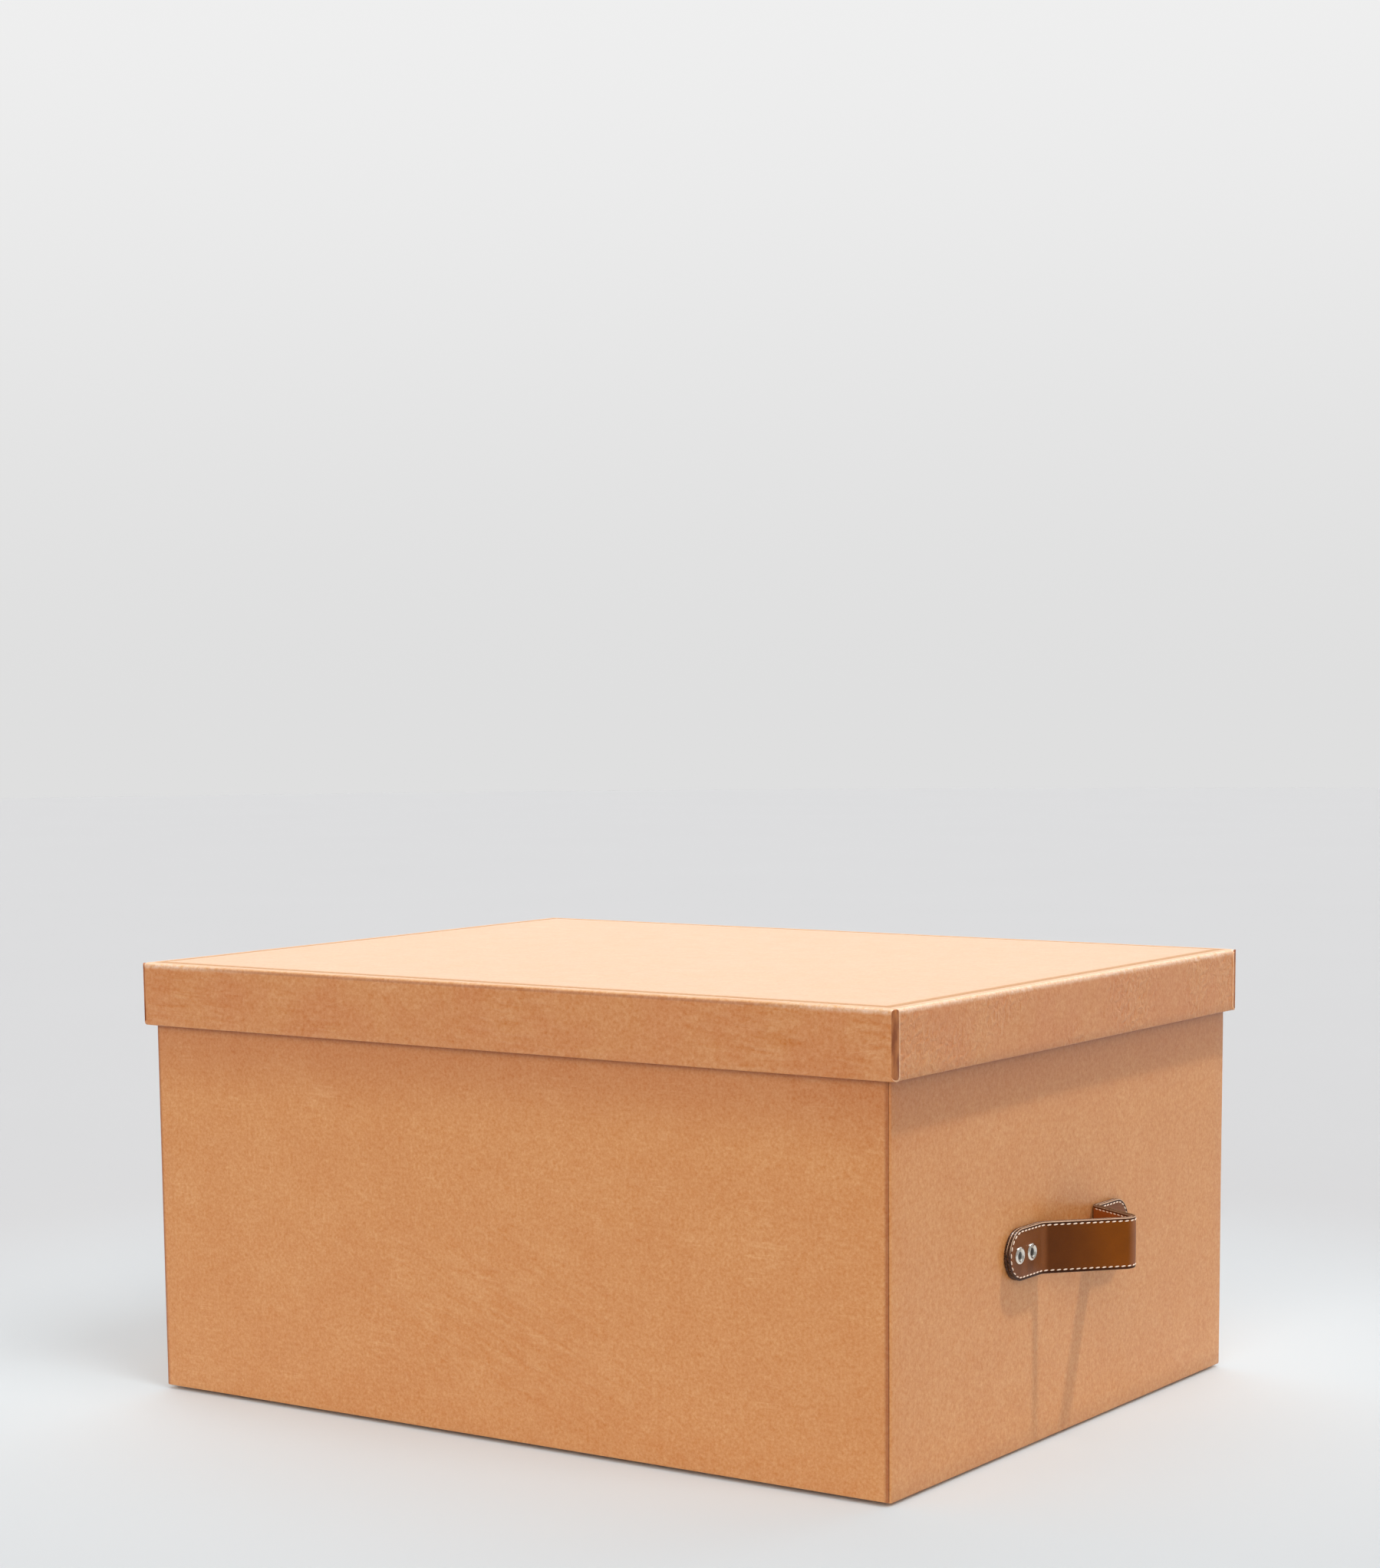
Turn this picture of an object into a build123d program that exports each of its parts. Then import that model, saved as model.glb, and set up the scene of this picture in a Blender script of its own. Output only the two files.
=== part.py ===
from build123d import *
import os

# Rigid archival box: greyboard walls covered in leather, a shallow lift-off lid, and a stitched
# strap handle riveted to each end. Millimetres. X runs along the box, the front faces -Y, +Z is up,
# and the origin is the middle of the face that the box stands on.

# Overall sizes, over the leather
box_length = 450.0
box_width = 345.0
overall_height = 225.0
lid_skirt_height = 33.0

# Sheet thicknesses
leather = 1.0
pared_leather = 0.5
board = 3.0
lid_leather = 0.9
lid_board = 1.9
lining = 0.4

# Edges and turned-in leather
box_corner_radius = 2.5
lid_corner_radius = 3.2
lid_top_radius = 1.6
box_turn_in = 22.0
lid_turn_in = 14.0
corner_strip_reach = 3.4
corner_strip_lower_lip = 1.2
corner_strip_upper_lip = 2.4

# Room left between the lid and the box
lid_side_clearance = 0.7
lid_seat_clearance = 0.3

# Handle straps
strap_length = 123.5
strap_width = 25.4
strap_leather = 1.7
strap_lining = 1.5
tab_length = 34.0
arch_reach = 33.0
apex_lean = 8.75
near_foot_inside_radius = 5.4
far_foot_inside_radius = 1.0
apex_inside_radius = 4.5
handle_height = 96.0
handle_shift = -6.75
stitch_margin = 1.3
thread = 0.35
thread_line = 0.6
inner_thread_foot_gap = 2.0

# Rivets
rivet_post_radius = 1.6
rivet_hole_clearance = 0.05
rivet_cap_radius = 4.25
rivet_cap_height = 1.6
rivet_cap_edge = 1.3
rivet_back_height = 1.2
rivet_back_edge = 0.6
rivet_socket_depth = 0.7
rivet_end_distance = 9.3
rivet_spacing = 12.0

# Sizes that follow from these
box_size = (box_length, box_width)
wall = leather + board
lid_overhang = lid_leather + lid_board + pared_leather + lid_side_clearance
lid_size = (box_length + 2 * lid_overhang, box_width + 2 * lid_overhang)
skirt_bottom = overall_height - lid_skirt_height
lid_board_top = overall_height - lid_leather
lid_board_bottom = lid_board_top - lid_board
lid_ceiling = lid_board_bottom - lining
rim = lid_ceiling - lid_seat_clearance
floor_board_top = leather + board
floor_top = floor_board_top + lining
strap_stack = strap_leather + strap_lining
mitre_depth = 2 * (wall + pared_leather)
tool_reach = 2 * overall_height

parts = {}


def slab(size, inset, low, high, radius=0.0):
    """Plate inset from the outline, with its upright edges rounded to follow that outline."""
    length, width = size
    plate = Box(length - 2 * inset, width - 2 * inset, high - low)
    plate = Pos(0, 0, (low + high) / 2) * plate
    if radius > inset:
        plate = fillet(plate.edges().filter_by(Axis.Z), radius - inset)
    return plate


def ring(size, inset, thickness, low, high, radius=0.0):
    """Four walls in one: a slab with the space inside it taken out."""
    return slab(size, inset, low, high, radius) - slab(size, inset + thickness, low, high)


def butt_walls(walls, size, inset, thickness):
    """Split a ring at butt joints: front and back run full length, the ends stand between."""
    length, width = size
    strip = Box(length, thickness, tool_reach)
    offset = width / 2 - inset - thickness / 2
    front_zone = Pos(0, -offset, 0) * strip
    back_zone = Pos(0, offset, 0) * strip
    ends = walls - front_zone - back_zone
    half = Box(length, width, tool_reach)
    left_zone = Pos(-length / 2, 0, 0) * half
    right_zone = Pos(length / 2, 0, 0) * half
    return {
        "front": walls & front_zone,
        "back": walls & back_zone,
        "left": ends & left_zone,
        "right": ends & right_zone,
    }


def mitre_walls(walls, size, depth):
    """Split a ring along the diagonals of its corners."""
    outer_x, outer_y = size[0] / 2, size[1] / 2
    inner_x, inner_y = outer_x - depth, outer_y - depth
    front = [(-outer_x, -outer_y), (outer_x, -outer_y), (inner_x, -inner_y), (-inner_x, -inner_y)]
    right = [(outer_x, -outer_y), (outer_x, outer_y), (inner_x, inner_y), (inner_x, -inner_y)]
    outlines = {
        "front": front,
        "back": [(x, -y) for x, y in front],
        "left": [(-x, y) for x, y in right],
        "right": right,
    }
    pieces = {}
    for side, corners in outlines.items():
        zone = extrude(make_face(Polyline(*corners, close=True)), tool_reach, both=True)
        pieces[side] = walls & zone
    return pieces


def rod_along_x(radius, start, end):
    """Cylinder about the X axis between two places on it."""
    rod = Rot(0, 90, 0) * Cylinder(radius, end - start)
    return Pos((start + end) / 2, 0, 0) * rod


def mirrored(shape):
    """The same shape for the other end of the box."""
    return mirror(shape, about=Plane.YZ)


# ---- Handle: built on the right end, with x counted outward from the end face ----

arch_span = strap_length - 2 * tab_length
strap_start = handle_shift - strap_length / 2
near_foot = strap_start + tab_length
far_foot = near_foot + arch_span
apex_y = handle_shift + apex_lean
end_face = Pos(box_length / 2, 0, 0)


def outward(start, end):
    """Unit vector across a run of the strap, away from the wall."""
    along = (end - start).normalized()
    return Vector(along.Y, -along.X)


def strap_points(offset):
    """Corners of the strap's plan line, moved away from the wall by offset."""
    base = [
        Vector(0, strap_start),
        Vector(0, near_foot),
        Vector(arch_reach, apex_y),
        Vector(0, far_foot),
        Vector(0, strap_start + strap_length),
    ]
    across = [outward(a, b) for a, b in zip(base, base[1:])]
    moved = [base[0] + across[0] * offset]
    for corner, before, after in zip(base[1:], across, across[1:]):
        moved.append(corner + (before + after) * (offset / (1 + before.dot(after))))
    moved.append(base[-1] + across[-1] * offset)
    return moved


def strap_radii(offset):
    """Bend radii of that line: the feet bend round the outside, the apex round the inside."""
    spare = strap_stack + thread - offset
    return [near_foot_inside_radius + spare, apex_inside_radius + offset, far_foot_inside_radius + spare]


def strap_outline(margin):
    """Prism of the strap's round-ended outline, seen square on to the end face."""
    outline = SlotOverall(strap_length - 2 * margin, strap_width - 2 * margin)
    placed = Plane.YZ * Pos(handle_shift, handle_height) * outline
    return extrude(placed, tool_reach, both=True)


def strap_layer(low, high, margin=0.0):
    """Part of the strap between two distances from its wall side."""
    inner = FilletPolyline(*strap_points(low), radius=strap_radii(low))
    outer = FilletPolyline(*strap_points(high), radius=strap_radii(high))
    ends = [Line(inner @ 0, outer @ 0), Line(inner @ 1, outer @ 1)]
    plan = make_face([*inner.edges(), *outer.edges(), *ends])
    sheet = extrude(Pos(0, 0, handle_height - strap_width / 2) * plan, strap_width)
    return sheet & strap_outline(margin)


def thread_run(low, high):
    """Line of stitching just inside the strap's edge, lying on one face."""
    return strap_layer(low, high, stitch_margin) - strap_outline(stitch_margin + thread_line)


def rivet_places():
    """Rivet centres across the end face, two in a row on each tab."""
    first = strap_start + rivet_end_distance
    last = strap_start + strap_length - rivet_end_distance
    return [first, first + rivet_spacing, last - rivet_spacing, last]


def at_rivets(shape):
    """One copy of a shape at each rivet."""
    return [Pos(0, y, handle_height) * shape for y in rivet_places()]


wall_inside = -(wall + lining)
hole = rod_along_x(rivet_post_radius + rivet_hole_clearance, wall_inside - leather, strap_stack + leather)
right_holes = end_face * Compound(children=at_rivets(hole))
holes = {"right": right_holes, "left": mirrored(right_holes)}


def make_rivet():
    """Domed cap with its post, as one piece."""
    cap = rod_along_x(rivet_cap_radius, strap_stack, strap_stack + rivet_cap_height)
    cap = fillet(cap.edges().sort_by(Axis.X)[-1], rivet_cap_edge)
    post_end = wall_inside - rivet_socket_depth
    return cap + rod_along_x(rivet_post_radius, post_end, strap_stack)


def make_rivet_back():
    """Cap on the inside of the box, pressed over the end of the post."""
    cap = rod_along_x(rivet_cap_radius, wall_inside - rivet_back_height, wall_inside)
    cap = fillet(cap.edges().sort_by(Axis.X)[0], rivet_back_edge)
    return cap - rod_along_x(rivet_post_radius, wall_inside - rivet_socket_depth, wall_inside)


def make_stitching():
    """Thread round the strap's outer face, and along both edges inside the arch."""
    outer_run = thread_run(strap_stack, strap_stack + thread)
    room = Pos(inner_thread_foot_gap + tool_reach / 2, 0, 0) * Box(tool_reach, tool_reach, tool_reach)
    inner_runs = thread_run(-thread, 0) & room
    return [*outer_run.solids(), *inner_runs.solids()]


handle = {
    "strap": [strap_layer(strap_lining, strap_stack)],
    "strap_lining": [strap_layer(0, strap_lining)],
    "stitching": make_stitching(),
    "rivets": at_rivets(make_rivet()),
    "rivet_backs": at_rivets(make_rivet_back()),
}
for name, shapes in handle.items():
    placed = end_face * Compound(children=shapes)
    if name in ("strap", "strap_lining"):
        placed = placed - right_holes
    parts["right_handle_" + name] = placed
    parts["left_handle_" + name] = mirrored(placed)


# ---- Box ----

parts["base_leather"] = slab(box_size, leather, 0, leather, box_corner_radius)
parts["base_board"] = slab(box_size, wall, leather, floor_board_top)
parts["base_lining"] = slab(box_size, wall, floor_board_top, floor_top)

board_ring = ring(box_size, leather, board, leather, rim - leather, box_corner_radius)
lining_ring = ring(box_size, wall, lining, floor_top, rim - box_turn_in)
skin = slab(box_size, 0, 0, rim, box_corner_radius) - slab(box_size, leather, 0, rim, box_corner_radius)
rim_strip = ring(box_size, leather, board + pared_leather, rim - leather, rim, box_corner_radius)
turned_in = ring(box_size, wall, pared_leather, rim - box_turn_in, rim - leather)
leather_ring = skin + rim_strip + turned_in

box_layers = {
    "board": butt_walls(board_ring, box_size, leather, board),
    "lining": butt_walls(lining_ring, box_size, wall, lining),
    "leather": mitre_walls(leather_ring, box_size, mitre_depth),
}
for layer, walls in box_layers.items():
    for side, panel in walls.items():
        parts[side + "_" + layer] = panel - holes[side] if side in holes else panel


# ---- Lid ----

lid_wall = lid_leather + lid_board

parts["lid_top_board"] = slab(lid_size, lid_leather, lid_board_bottom, lid_board_top, lid_corner_radius)
parts["lid_top_lining"] = slab(lid_size, lid_wall, lid_ceiling, lid_board_bottom)

skirt_board = ring(
    lid_size, lid_leather, lid_board, skirt_bottom + lid_leather, lid_board_bottom, lid_corner_radius
)
skirt_lining = ring(lid_size, lid_wall, lining, skirt_bottom + lid_turn_in, lid_ceiling)
lid_layers = {
    "board": butt_walls(skirt_board, lid_size, lid_leather, lid_board),
    "lining": butt_walls(skirt_lining, lid_size, lid_wall, lining),
}
for layer, walls in lid_layers.items():
    for side, panel in walls.items():
        parts["lid_" + side + "_" + layer] = panel

lid_block = slab(lid_size, 0, skirt_bottom, overall_height, lid_corner_radius)
lid_block = fillet(lid_block.faces().sort_by(Axis.Z)[-1].edges(), lid_top_radius)
lid_skin = lid_block - slab(lid_size, lid_leather, skirt_bottom, lid_board_top, lid_corner_radius)
skirt_edge = ring(
    lid_size,
    lid_leather,
    lid_board + pared_leather,
    skirt_bottom,
    skirt_bottom + lid_leather,
    lid_corner_radius,
)
skirt_turn_in = ring(lid_size, lid_wall, pared_leather, skirt_bottom + lid_leather, skirt_bottom + lid_turn_in)
lid_cover = lid_skin + skirt_edge + skirt_turn_in

strip_low = skirt_bottom + corner_strip_lower_lip
strip_high = overall_height - corner_strip_upper_lip
strip_zone = Box(2 * corner_strip_reach, 2 * corner_strip_reach, strip_high - strip_low)
board_core = slab(lid_size, lid_leather, skirt_bottom, overall_height, lid_corner_radius)
for depth_name, y_sign in (("front", -1), ("back", 1)):
    for side_name, x_sign in (("left", -1), ("right", 1)):
        corner = Pos(x_sign * lid_size[0] / 2, y_sign * lid_size[1] / 2, (strip_low + strip_high) / 2)
        zone = corner * strip_zone
        strip = (lid_cover & zone) - board_core
        parts["lid_corner_strip_" + depth_name + "_" + side_name] = strip
        lid_cover = lid_cover - strip
parts["lid_leather"] = lid_cover


os.makedirs("parts", exist_ok=True)
for name, shape in parts.items():
    export_step(shape, "parts/" + name + ".step")
    print(name, len(shape.solids()))
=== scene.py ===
from collections import namedtuple
import math

import bmesh
import bpy
from mathutils import Matrix, Vector, noise


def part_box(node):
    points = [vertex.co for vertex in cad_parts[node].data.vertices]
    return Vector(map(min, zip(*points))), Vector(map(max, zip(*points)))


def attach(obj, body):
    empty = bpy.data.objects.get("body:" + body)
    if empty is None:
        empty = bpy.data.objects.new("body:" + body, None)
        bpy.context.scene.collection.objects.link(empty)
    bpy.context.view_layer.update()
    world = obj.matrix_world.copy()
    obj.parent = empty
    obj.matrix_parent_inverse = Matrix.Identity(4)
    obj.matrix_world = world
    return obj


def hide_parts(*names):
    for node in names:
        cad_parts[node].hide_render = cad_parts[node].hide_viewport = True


# Archival box of greyboard covered in tan leather, with a lift-off lid and a stitched strap handle
# riveted to each end. Metres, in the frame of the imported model: X along the box, front towards -Y.
# Lengths are millimetres times mm, but the size of a noise is given in metres.

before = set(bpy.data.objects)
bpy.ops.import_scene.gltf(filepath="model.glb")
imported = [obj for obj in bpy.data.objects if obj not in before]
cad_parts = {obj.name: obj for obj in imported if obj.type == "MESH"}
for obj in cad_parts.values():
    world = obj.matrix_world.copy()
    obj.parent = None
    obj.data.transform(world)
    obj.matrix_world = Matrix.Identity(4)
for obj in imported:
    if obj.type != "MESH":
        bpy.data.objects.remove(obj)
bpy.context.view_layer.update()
mm = 0.001
weld = 0.01 * mm
cut_snap = 0.001 * mm
pared = 0.5 * mm


# ---- Shader nodes ----

class Wire:
    """An output socket, on which sums and products add Math nodes."""

    def __init__(self, sheet, socket):
        self.sheet = sheet
        self.socket = socket

    def math(self, operation, *values):
        return self.sheet.node("ShaderNodeMath", dict(enumerate(values)), operation=operation)

    def __add__(self, other):
        return self.math("ADD", self, other)

    def __radd__(self, other):
        return self.math("ADD", other, self)

    def __sub__(self, other):
        return self.math("SUBTRACT", self, other)

    def __rsub__(self, other):
        return self.math("SUBTRACT", other, self)

    def __mul__(self, other):
        return self.math("MULTIPLY", self, other)

    def __rmul__(self, other):
        return self.math("MULTIPLY", other, self)

    def __abs__(self):
        return self.math("ABSOLUTE", self)

    def least(self, other):
        return self.math("MINIMUM", self, other)

    def most(self, other):
        return self.math("MAXIMUM", self, other)

    def root(self):
        return self.math("SQRT", self)

    def sine(self):
        return self.math("SINE", self)


class Sheet:
    """The nodes of one finish."""

    def __init__(self, tree):
        self.tree = tree
        tree.nodes.clear()

    def node(self, kind, inputs=None, output=0, **settings):
        """New node: its settings first, then the values or links of its sockets."""
        made = self.tree.nodes.new(kind)
        for name, value in settings.items():
            setattr(made, name, value)
        for name, value in (inputs or {}).items():
            if isinstance(value, Wire):
                self.tree.links.new(value.socket, made.inputs[name])
            else:
                made.inputs[name].default_value = value
        return Wire(self, made.outputs[output]) if made.outputs else None

    def place(self, turn=(0, 0, 0), stretch=(1, 1, 1)):
        """Object coordinates, turned by degrees and stretched along the turned axes."""
        spot = self.node("ShaderNodeTexCoord", output="Object")
        angles = [math.radians(a) for a in turn]
        inputs = {"Vector": spot, "Rotation": angles, "Scale": stretch}
        return self.node("ShaderNodeMapping", inputs, vector_type="TEXTURE")

    def axis(self, spot, name):
        """One of the three numbers of a place or direction."""
        return self.node("ShaderNodeSeparateXYZ", {"Vector": spot}, output=name)

    def axes(self, spot):
        return [self.axis(spot, name) for name in "XYZ"]

    def noise(self, place, size, detail=2.0, roughness=0.5, distortion=0.0):
        """Smooth cloudy value from 0 to 1, with features of about this size in metres."""
        inputs = {
            "Vector": place,
            "Scale": 1.0 / size,
            "Detail": detail,
            "Roughness": roughness,
            "Distortion": distortion,
        }
        return self.node("ShaderNodeTexNoise", inputs)

    def fade(self, value, low, high):
        """0 below low and 1 above high, with a soft change between."""
        inputs = {"Value": value, "From Min": low, "From Max": high}
        return self.node("ShaderNodeMapRange", inputs, interpolation_type="SMOOTHSTEP")

    def mix(self, factor, first, second, blend="MIX"):
        """Blend of two colours."""
        inputs = {0: factor, 6: first, 7: second}
        return self.node("ShaderNodeMix", inputs, output=2, data_type="RGBA", blend_type=blend)

    def shade(self, colour, value):
        """Colour made lighter or darker by a value, or tinted by a colour, around 1."""
        return self.mix(1.0, colour, value, blend="MULTIPLY")

    def bump(self, height, depth):
        """Relief of that depth in metres."""
        return self.node("ShaderNodeBump", {"Height": height, "Distance": depth})

    def surface(self, **inputs):
        """The shader itself, joined to the output. Sockets are named with _ for each space."""
        named = {name.replace("_", " "): value for name, value in inputs.items()}
        shader = self.node("ShaderNodeBsdfPrincipled", named)
        self.node("ShaderNodeOutputMaterial", {"Surface": shader})


def new_finish(name):
    """Material and the sheet that its nodes go on."""
    material = bpy.data.materials.new(name)
    material.use_nodes = True
    return material, Sheet(material.node_tree)


def screen_colour(red, green, blue):
    """Colour given as it looks on a screen, from 0 to 255, for a shader socket."""
    def linear(level):
        share = level / 255.0
        return share / 12.92 if share <= 0.04045 else ((share + 0.055) / 1.055) ** 2.4
    return (linear(red), linear(green), linear(blue), 1.0)


# ---- Studio ----

def make_camera():
    """Long lens a little above the lid, looking at the corner of the front and the right end."""
    data = bpy.data.cameras.new("camera")
    data.lens = 71.03
    data.sensor_width = 36.0
    data.shift_x = -0.030
    data.shift_y = 0.185
    data.dof.use_dof = False
    camera = bpy.data.objects.new("camera", data)
    stand = Matrix.Translation((0.92858, -1.33439, 0.36837))
    turned = Matrix.Rotation(math.radians(34.07), 4, "Z")
    tipped = Matrix.Rotation(math.radians(90.0 - 7.25), 4, "X")
    rolled = Matrix.Rotation(math.radians(-0.41), 4, "Z")
    camera.matrix_world = stand @ turned @ tipped @ rolled
    bpy.context.scene.collection.objects.link(camera)
    bpy.context.scene.camera = camera


def sun(name, towards, strength, width, glossy=False, tint=(1.0, 1.0, 1.0)):
    """Distant lamp in a direction from the box. The wider it is, in degrees, the softer its shadows."""
    data = bpy.data.lights.new(name, "SUN")
    data.energy = strength
    data.color = tint
    data.angle = math.radians(width)
    lamp = bpy.data.objects.new(name, data)
    lamp.rotation_mode = "QUATERNION"
    lamp.rotation_quaternion = Vector(towards).to_track_quat("Z", "Y")
    lamp.visible_glossy = glossy
    bpy.context.scene.collection.objects.link(lamp)
    return lamp


def light_studio():
    """Dim room that grows bright beyond the back of the box, with an even grey backdrop."""
    dim = (0.36, 0.36, 0.36, 1.0)
    bright = (1.45, 1.45, 1.45, 1.0)
    horizon = screen_colour(223, 223, 223)
    overhead = screen_colour(240, 240, 240)
    world = bpy.data.worlds.new("studio")
    world.use_nodes = True
    bpy.context.scene.world = world
    sheet = Sheet(world.node_tree)
    direction = sheet.node("ShaderNodeTexCoord", output="Generated")
    right, back, up = sheet.axes(direction)
    beyond = sheet.fade(0.83 * back - 0.56 * right, 0.15, 0.85)
    lit = sheet.mix(beyond, dim, bright)
    backdrop = sheet.mix(sheet.fade(up, -0.02, 0.25), horizon, overhead)
    seen = sheet.node("ShaderNodeLightPath", output="Is Camera Ray")
    background = sheet.node("ShaderNodeBackground", {"Color": sheet.mix(seen, lit, backdrop)})
    sheet.node("ShaderNodeOutputWorld", {"Surface": background})
    bpy.context.scene.view_settings.view_transform = "Standard"


def floor_finish():
    """Matt pale paper, painted paler and cooler round the box to cancel the shade and the warm light
    that its leather throws there.
    """
    painted_near_colour = screen_colour(236, 245, 250)
    far = screen_colour(216, 217, 219)
    material, sheet = new_finish("pale floor")
    place = sheet.place()
    tone = 0.99 + 0.02 * sheet.noise(place, 0.4)
    from_box = sheet.node("ShaderNodeVectorMath", {0: place}, output="Value", operation="LENGTH")
    colour = sheet.mix(sheet.fade(from_box, 0.2, 0.75), painted_near_colour, far)
    sheet.surface(Base_Color=sheet.shade(colour, tone), Roughness=0.9, Specular_IOR_Level=0.1)
    return material


def make_floor():
    """Wide round floor, just below the box so that a thin dark line shows under it."""
    drop = 2.0 * mm
    bm = bmesh.new()
    bmesh.ops.create_circle(bm, cap_ends=True, segments=64, radius=9.0)
    bmesh.ops.translate(bm, vec=(0, 0, -drop), verts=bm.verts)
    mesh = bpy.data.meshes.new("floor")
    bm.to_mesh(mesh)
    bm.free()
    mesh.materials.append(floor_finish())
    floor = bpy.data.objects.new("floor", mesh)
    bpy.context.scene.collection.objects.link(floor)
    return floor


def light_floor_apart(floor, steep, wide):
    """The steep lamp misses the floor. The floor has a wide lamp of its own, for faint shadows."""
    for lamp, state in ((steep, "EXCLUDE"), (wide, "INCLUDE")):
        chosen = bpy.data.collections.new(lamp.name + " and the floor")
        chosen.objects.link(floor)
        chosen.collection_objects[0].light_linking.link_state = state
        lamp.light_linking.receiver_collection = chosen


# ---- Finishes ----

# Grain goes from red-brown in the pores to cream on the fibres, as tints of the leather's colour.
dark_grain = (0.85, 0.60, 0.20, 1.0)
pale_grain = (1.15, 1.40, 1.80, 1.0)
fibre_lean = 20

# The most creased patch of the walls lies low in their middle.
creased_x = -13.0 * mm
creased_z = 58.0 * mm

# The part of the walls on which the lid's shade is painted, deeper and redder towards the lid.
shaded_from = 150.0 * mm
shaded_to = 190.0 * mm


def top_of_lid(sheet, z):
    """1 on the level top of the lid, 0 down its sides."""
    return sheet.fade(z, lid_high.z - 1.6 * mm, lid_high.z - 0.6 * mm)


def tan_leather(name, light, deep, slant, wrinkled, marks_and_painted_light=None):
    """Vegetable-tanned leather: fine pores all over, short pale fibres and faint wrinkles.

    The wrinkles slant by degrees. The last argument is a function that gives the colour its marks, its
    painted light and shade, and says how much duller they are.
    """
    material, sheet = new_finish(name)
    place = sheet.place()
    x = sheet.axis(place, "X")
    z = sheet.axis(place, "Z")
    cloud = sheet.noise(place, 0.090, detail=3.0, roughness=0.55)
    patch = sheet.noise(place, 0.013, detail=3.0, roughness=0.6)
    flecks = sheet.noise(place, 0.0034, detail=3.0, roughness=0.7)
    pores = sheet.noise(place, 0.0015, detail=2.0, roughness=0.65)

    slanted = sheet.place(turn=(0, slant, 0), stretch=(7, 1, 1))
    wrinkles = sheet.noise(slanted, 0.0034, detail=2.0, roughness=0.45, distortion=0.9)
    low_middle = 1.0 - sheet.fade(abs(x - creased_x), 30.0 * mm, 120.0 * mm)
    low_middle = low_middle * (1.0 - sheet.fade(abs(z - creased_z), 15.0 * mm, 60.0 * mm))
    here_and_there = sheet.fade(sheet.noise(place, 0.07, detail=1.0), 0.45, 0.60)
    creases = (wrinkles - 0.5) * (wrinkled * here_and_there + low_middle)
    creases = creases * (1.0 - 0.75 * top_of_lid(sheet, z))

    laid = sheet.place(turn=(0, slant - fibre_lean, 0), stretch=(16, 1, 1))
    hair = abs(sheet.noise(laid, 0.0060, detail=1.0, distortion=0.5) - 0.5)
    few = sheet.fade(sheet.noise(place, 0.024, detail=2.0), 0.54, 0.68)
    streaks = sheet.fade(0.035 - hair, 0.0, 0.035) * few

    redder = sheet.fade(sheet.noise(place, 0.030, detail=2.0), 0.25, 0.75)
    colour = sheet.mix(redder, light, deep)
    dull = 0.0
    if marks_and_painted_light:
        colour, dull = marks_and_painted_light(sheet, colour)
    tone = 0.405 + 0.05 * cloud + 0.08 * patch + 0.38 * flecks + 0.68 * pores
    tone = tone + 0.30 * creases + 0.12 * streaks
    height = 0.6 * pores + 0.5 * flecks + 3.0 * creases
    grain = sheet.mix(0.5 + 1.6 * (tone - 1.0), dark_grain, pale_grain)
    sheet.surface(
        Base_Color=sheet.shade(colour, grain),
        Roughness=0.36 + 0.10 * (patch - 0.5) + 0.08 * (pores - 0.5) + dull,
        IOR=1.5,
        Normal=sheet.bump(height, 0.10 * mm),
    )
    return material


def box_marks_and_painted_shade(sheet, colour):
    """Painted shade, deeper near the lid and under it and down the front and back edges at each corner;
    dark seams.
    """
    painted_corner_shade = screen_colour(170, 102, 56)
    shaded = screen_colour(150, 50, 20)
    seam_colour = screen_colour(96, 50, 26)
    x, y, z = sheet.axes(sheet.place())
    from_end = box_half.x - abs(x)
    from_side = box_half.y - abs(y)
    # Painted shadow: a dark line just below the skirt, which runs on up under the lid.
    painted_skirt_shadow = sheet.fade(z, lid_low.z - 2.6 * mm, lid_low.z - 0.2 * mm)
    painted_lid_shade = 0.26 * sheet.fade(z, shaded_from, shaded_to) + 0.24 * painted_skirt_shadow
    colour = sheet.mix(painted_lid_shade, colour, shaded)
    # Painted shade on the front and back side of each rounded upright corner.
    near_end = 1.0 - sheet.fade(from_end, 1.6 * mm, 3.6 * mm)
    on_side = 1.0 - sheet.fade(from_side, 0.5 * mm, 1.1 * mm)
    colour = sheet.mix(near_end * on_side, colour, painted_corner_shade)
    seam = 1.0 - sheet.fade(abs(from_end - from_side), 0.25 * mm, 0.7 * mm)
    return sheet.mix(seam * near_end * on_side, colour, seam_colour), 0.0


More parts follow.
